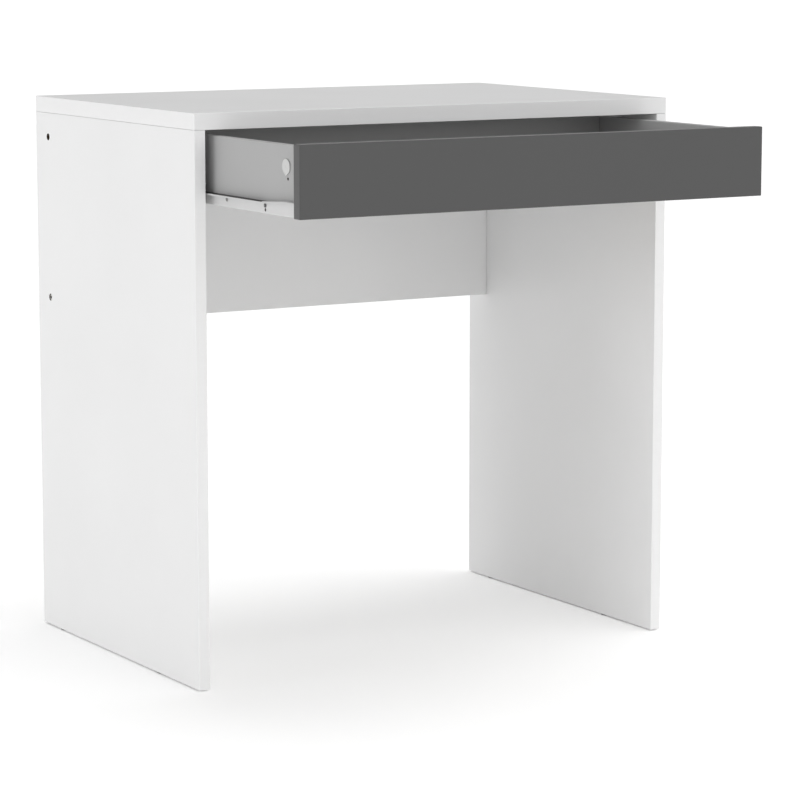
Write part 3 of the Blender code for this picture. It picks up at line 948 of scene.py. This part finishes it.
def makeRoller(node, direction):
    # moulded roller: crowned tread, a dish for the rivet head and a hollow back face
    size = sizeOf(node)
    radius, width = size.z / 2, size.x
    start, _ = endOf(node, -direction)
    outline = list(roller["hub"])
    outline += [(radius - inward, height) for inward, height in roller["backRim"]]
    outline += [(radius, width * part) for part in roller["tread"]]
    outline += [(radius - inward, width - down) for inward, down in roller["frontRim"]]
    outline += [(across, width - down) for across, down in roller["dishEdge"] + roller["dish"]]
    piece = turned(node + "_moulded", outline, rollerPlastic, roller["steps"], ring=True)
    setDown(piece, start, (direction, 0, 0))
    declare(piece, node)


axle = {
    "steps": 40,
    "tail": ((0, 0), (0.0020, 0), (0.0020, 0.0014), (0.0031, 0.0014)),
    "shoulder": 0.0031,
    "shank": 0.0020,
    "rim": ((0.0034, 0.0010), (0.0034, 0.0008), (0.0031, 0.0004), (0.0025, 0.0001)),
    "dimple": ((0.0016, 0), (0.0013, 0.0002), (0.0010, 0.0006), (0, 0.0007)),
    "headHigh": 0.0010,
    "play": 0.0010,  # the dish is this much deeper than the head's seat
}


def makeAxle(node, direction):
    # shouldered rivet with a domed, dimpled head that sits in the roller's dish
    start, long = endOf(node, -direction)
    width = sizeOf(node.replace("axle", "roller")).x
    shoulder = long - axle["headHigh"] - (width - axle["play"])
    outline = list(axle["tail"])
    outline += [(axle["shoulder"], shoulder), (axle["shank"], shoulder)]
    outline.append((axle["shank"], long - axle["headHigh"]))
    outline += [(across, long - down) for across, down in axle["rim"] + axle["dimple"]]
    piece = turned(node + "_riveted", outline, zincPlate, axle["steps"])
    setDown(piece, start, (direction, 0, 0))
    declare(piece, node)


cross = {"wide": 0.0008, "taper": 0.55, "above": 0.0001}


def crossCutter(reach, deep, level=0.0, wide=cross["wide"], material=darkZincAndRecessShade):
    # tapered cross recess below a head, as one closed plus-shaped prism; by default its walls get
    # darker zinc as painted shade
    bm = bmesh.new()
    bmesh.ops.create_grid(bm, x_segments=3, y_segments=3, size=1)
    for vert in bm.verts:
        for axis in (0, 1):
            step = reach if abs(vert.co[axis]) > 0.5 else wide / 2
            vert.co[axis] = step if vert.co[axis] > 0 else -step
    middles = {face: face.calc_center_median() for face in bm.faces}
    corners = [face for face, spot in middles.items() if min(abs(spot.x), abs(spot.y)) > wide / 2]
    bmesh.ops.delete(bm, geom=corners, context="FACES")
    drawn = bmesh.ops.extrude_face_region(bm, geom=bm.faces[:])["geom"]
    lowered = [item for item in drawn if isinstance(item, bmesh.types.BMVert)]
    bmesh.ops.scale(bm, vec=(cross["taper"], cross["taper"], 1), verts=lowered)
    bmesh.ops.translate(bm, vec=(0, 0, -deep), verts=lowered)
    bmesh.ops.translate(bm, vec=(0, 0, level + cross["above"]), verts=bm.verts)
    bmesh.ops.recalc_face_normals(bm, faces=bm.faces)
    return hold("cross", bm, material)


def threadOutline(core, crest, start, tip, pitch):
    # zigzag from under the head to the point
    outline = []
    level = start
    while level - pitch > tip + core * 1.5:
        outline += [(core, level), (crest, level - pitch * 0.5)]
        level -= pitch
    return outline + [(core, level), (0, tip)]


smallScrew = {
    "dome": ((0, 0), (0.45, 0), (0.8, 0.15), (0.95, 0.45), (1, 0.8), (0.97, 1)),  # parts of the head
    "channel": {"headHigh": 0.0012, "core": 0.0021, "crest": 0.0025},
    "runner": {"headHigh": 0.0009, "core": 0.0011, "crest": 0.0015},
    "back": {"headHigh": 0.0020, "core": 0.0012, "crest": 0.0017},
    "pitch": 0.0014,
    "recess": 0.55,
    "recessDeep": 0.75,
    "steps": 32,
}


def makeSmallScrew(node, direction, plate=zincPlate):
    # domed head with a cross recess over a threaded shank, sized from its CAD box
    size = smallScrew[node.split("_")[0]]
    spot, long = endOf(node, direction)
    head = sizeOf(node).z / 2
    high = size["headHigh"]
    outline = [(head * across, -high * down) for across, down in smallScrew["dome"]]
    outline += threadOutline(size["core"], size["crest"], -high, -long, smallScrew["pitch"])
    piece = turned(node + "_threaded", outline, plate, smallScrew["steps"])
    carve(piece, [crossCutter(head * smallScrew["recess"], high * smallScrew["recessDeep"])])
    keepSharp(piece)
    setDown(piece, spot, (direction, 0, 0))
    declare(piece, node)


connector = {
    "rim": ((0, 0), (0.0040, 0), (0.0044, -0.0002), (0.0046, -0.0006), (0.0046, -0.0010)),
    "shank": ((0.0033, -0.0033), (0.0033, -0.0110)),
    "core": 0.0022,
    "crest": 0.0029,
    "threadFrom": -0.0115,
    "pitch": 0.0030,
    "socket": 0.0023,
    "socketDeep": 0.0025,
}


def makeConnector(node, direction):
    # one-piece connector: flat head with a hexagon socket, countersink, shank and coarse thread
    spot, long = endOf(node, direction)
    core, crest = connector["core"], connector["crest"]
    outline = list(connector["rim"] + connector["shank"])
    outline += threadOutline(core, crest, connector["threadFrom"], -long, connector["pitch"])
    piece = turned(node + "_threaded", outline, zincPlate)
    socket = connector["socket"]
    deep = 2 * connector["socketDeep"]
    # the hexagon socket's walls get darker zinc: painted shade
    carve(piece, [drill((0, 0, 0), (0, 0, 1), socket, deep, darkZincAndRecessShade, steps=6)])
    keepSharp(piece)
    setDown(piece, spot, (direction, 0, 0))
    declare(piece, node)


disc = {
    "radius": 0.0098,
    "nose": 0.0118,
    "proud": 0.0013,
    "rim": 0.0004,
    "rimSteps": 4,
    "border": 0.0009,
    "stepWide": 0.00025,
    "stepDeep": 0.00018,
    "body": 0.0072,
    "bodyDeep": 0.0088,
    "lap": 0.0002,
    "cross": 0.0030,
    "crossDeep": 0.0004,
    "crossWide": 0.0010,
}


def makeCamDisc(word, side):
    # white fitting with a pointed nose, a raised rim and a shallow cross for the driver
    node = "cam_disc_" + word
    low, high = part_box(node)
    spot = Vector((high.x if side > 0 else low.x, (low.y + high.y) / 2, high.z - disc["radius"]))
    bm = bmesh.new()
    bmesh.ops.create_circle(bm, cap_ends=True, segments=64, radius=disc["radius"])
    flank = disc["radius"] * sin(radians(45))
    slope = (disc["nose"] - flank) / flank
    for vert in bm.verts:  # the lower quarter is drawn out to the nose
        if vert.co.y < -flank:
            vert.co.y = abs(vert.co.x) * slope - disc["nose"]
    raised = bmesh.ops.extrude_face_region(bm, geom=bm.faces[:])["geom"]
    lifted = [item for item in raised if isinstance(item, bmesh.types.BMVert)]
    bmesh.ops.translate(bm, vec=(0, 0, disc["proud"]), verts=lifted)
    bmesh.ops.recalc_face_normals(bm, faces=bm.faces)
    crown = max(bm.faces, key=lambda item: item.calc_center_median().z)
    soften(bm, list(crown.edges), disc["rim"], disc["rimSteps"])
    crown = max(bm.faces, key=lambda item: item.calc_center_median().z + item.calc_area())
    bmesh.ops.inset_individual(bm, faces=[crown], thickness=disc["border"], depth=0)
    bmesh.ops.inset_individual(
        bm, faces=[crown], thickness=disc["stepWide"], depth=-disc["stepDeep"]
    )
    piece = hold(node + "_moulded", bm, whitePlastic)
    deep = disc["bodyDeep"]
    middle = (0, 0, disc["lap"] - deep / 2)
    body = drill(middle, (0, 0, 1), disc["body"], deep, whitePlastic, steps=48)
    carve(piece, [body], "UNION")
    level = disc["proud"] - disc["stepDeep"]
    slots = crossCutter(disc["cross"], disc["crossDeep"], level, disc["crossWide"], whitePlastic)
    carve(piece, [slots])
    turn = Matrix(((0, 0, side, 0), (side, 0, 0, 0), (0, 1, 0, 0), (0, 0, 0, 1)))
    piece.data.transform(Matrix.Translation(spot - Vector((side * disc["proud"], 0, 0))) @ turn)
    evenShading(piece)
    declare(piece, node)


cam = {
    "face": ((0, 0), (0.0056, 0), (0.0060, -0.0002), (0.0072, -0.0010)),
    "radius": 0.0072,
    "chamfer": 0.0006,
    "cross": 0.0036,
    "crossDeep": 0.0022,
    "crossWide": 0.0013,
    "arrow": 0.0012,
    "arrowDeep": 0.0003,
    "arrowOut": 0.0048,
}


def arrowCutter():
    size = cam["arrow"]
    bm = bmesh.new()
    bmesh.ops.create_cone(
        bm, cap_ends=True, segments=3, radius1=size, radius2=size, depth=2 * cam["arrowDeep"]
    )
    bmesh.ops.translate(bm, vec=(cam["arrowOut"], 0, 0), verts=bm.verts)
    return hold("arrow", bm, camMetal)


def makeCam(node, direction):
    # cast cam in the side panel: chamfered face, cross recess and an arrow that points at its bolt
    spot, long = endOf(node, direction)
    radius, chamfer = cam["radius"], cam["chamfer"]
    outline = list(cam["face"])
    outline += [(radius, chamfer - long), (radius - chamfer, -long), (0, -long)]
    piece = turned(node + "_cast", outline, camMetal)
    carve(piece, [crossCutter(cam["cross"], cam["crossDeep"], wide=cam["crossWide"])])
    carve(piece, [arrowCutter()])
    keepSharp(piece)
    setDown(piece, spot, (direction, 0, 0))
    bolt = node.replace("cam_", "cam_bolt_")
    carve(piece, [pocketFor(bolt, 2, grow=pocket["threadRoom"])])
    declare(piece, node)


glide = {
    "dome": ((0, 0), (0.0060, 0), (0.0067, 0.00015), (0.0071, 0.0006), (0.0072, 0.0011)),
    "back": ((0.0070, 0.0017), (0.0011, 0.0017)),
    "nail": 0.0011,
    "point": 0.0016,
    "steps": 56,
}


def makeGlide(node):
    # domed plastic foot on a nail
    middle = centreOf(node)
    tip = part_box(node)[1].z
    outline = list(glide["dome"] + glide["back"]) + [(glide["nail"], tip - glide["point"]), (0, tip)]
    piece = turned(node + "_moulded", outline, glidePlastic, glide["steps"])
    setDown(piece, (middle.x, middle.y, 0), (0, 0, 1))
    declare(piece, node)


makeTop()
makeModesty()
makeDrawerFront()
makeDrawerBack()
makeDrawerFloor()
for word, side in sides.items():
    makeSidePanel(word)
    makeDrawerSide(word, side)
print("boards made")

for word, side in sides.items():
    makeRunnerRail(word, side)
    makeChannelRail(word, side)
    makeRoller("front_roller_" + word, -side)
    makeAxle("front_axle_" + word, -side)
    makeRoller("rear_roller_" + word, side)
    makeAxle("rear_axle_" + word, side)
print("slides made")

runnerPlates = {"front": blackPlate, "rear": darkZincAndRecessShade}
for word, side in sides.items():
    makeCamDisc(word, side)
    for end in ends:
        makeSmallScrew(f"channel_screw_{end}_{word}", -side)
        makeSmallScrew(f"runner_screw_{end}_{word}", side, runnerPlates[end])
        makeCam(f"cam_{end}_{word}", -side)
        makeGlide(f"glide_{end}_{word}")
    for level in levels:
        makeConnector(f"modesty_screw_{level}_{word}", side)
        makeSmallScrew(f"back_screw_{level}_{word}", side)
print("fasteners made")

# bolts and pegs inside the boards keep their CAD shape
for name, node in nodes.items():
    finish = zincPlate if "bolt" in name else pegWood if "dowel" in name else None
    if finish:
        for place in node.material_slots:
            place.material = finish

studio = {
    "floorRadius": 60,
    "floorTone": 0.96,
    "floorGlow": 0.285,
    "glowReach": 0.40,
    "glowOpen": 0.5,
    "horizon": 0.86,
    "zenith": 0.12,
    "fall": 1.2,
    "leftGain": -0.12,
    "frontGain": 0.45,
    "overhead": {"power": 1.08, "angle": 45, "from": (0.25, 0.05, 1.0)},
    "fill": {"power": 0.45, "angle": 70, "from": (0.6, -1.0, 0.70)},
    "wash": {"power": 0.85, "angle": 30, "from": (-1.0, 0.0, 0.15)},
}


def makeFloor():
    # pale, softly glowing floor; ambient occlusion dims the glow in gaps and under the desk, a
    # painted shade, so the feet touch it
    bm = bmesh.new()
    bmesh.ops.create_circle(bm, cap_ends=True, segments=96, radius=studio["floorRadius"])
    made = Finish("paleFloor", Specular_IOR_Level=0.1, Emission_Strength=studio["floorGlow"])
    reach = {"Distance": studio["glowReach"]}
    openness = made.add("ShaderNodeAmbientOcclusion", {"samples": 8}, reach, output="AO")
    # occluded spots lose their glow: painted shade
    glowWithPaintedShade = made.mix(openness.soft(0, studio["glowOpen"]), (0, 0, 0), (1, 1, 1))
    made.feed("Emission Color", glowWithPaintedShade)
    tone = (studio["floorTone"],) * 3
    cloud = made.noise(0.6)
    made.feed("Base Color", made.mix(cloud, tone, shade(tone, 1.01)))
    made.feed("Roughness", cloud * 0.1 + 0.85)
    hold("floor", bm, made.material)


def makeWorld():
    # pale walls that grow dimmer overhead, and a little brighter on the left and in front
    world = bpy.data.worlds.new("studio")
    bpy.context.scene.world = world
    world.use_nodes = True
    sky = Tree(world.node_tree)
    across, depth, height = sky.split(sky.add("ShaderNodeTexCoord", output="Generated"))
    rise = height.math("MAXIMUM", 0).math("POWER", studio["fall"])
    level = rise * (studio["zenith"] - studio["horizon"]) + studio["horizon"]
    gain = 1 - across * studio["leftGain"] - depth * studio["frontGain"]
    background = sky.tree.nodes["Background"]
    plug(sky.tree, background.inputs["Strength"], level * gain)
    plug(sky.tree, background.inputs["Color"], (1, 1, 1))


def makeLight(name):
    # a wide, far softbox
    wanted = studio[name]
    lamp = bpy.data.lights.new(name, "SUN")
    lamp.energy = wanted["power"]
    lamp.angle = radians(wanted["angle"])
    made = bpy.data.objects.new(name, lamp)
    made.location = wanted["from"]
    made.rotation_euler = Vector(wanted["from"]).to_track_quat("Z", "Y").to_euler()
    bpy.context.scene.collection.objects.link(made)


view = {
    "place": (-2.2284, -3.7937, 1.0023),
    "down": 8.485,
    "turn": 30.542,
    "lens": 143.6,
    "sensor": 36,
    "reach": 200,
}


def makeCamera():
    lens = bpy.data.cameras.new("camera")
    lens.lens = view["lens"]
    lens.sensor_width = view["sensor"]
    lens.clip_end = view["reach"]
    made = bpy.data.objects.new("camera", lens)
    made.location = view["place"]
    made.rotation_euler = (radians(90 - view["down"]), 0, radians(-view["turn"]))
    bpy.context.scene.collection.objects.link(made)
    bpy.context.scene.camera = made


makeFloor()
makeWorld()
for name in ("overhead", "fill", "wash"):
    makeLight(name)
makeCamera()
bpy.context.scene.view_settings.view_transform = "Standard"
print("studio made")
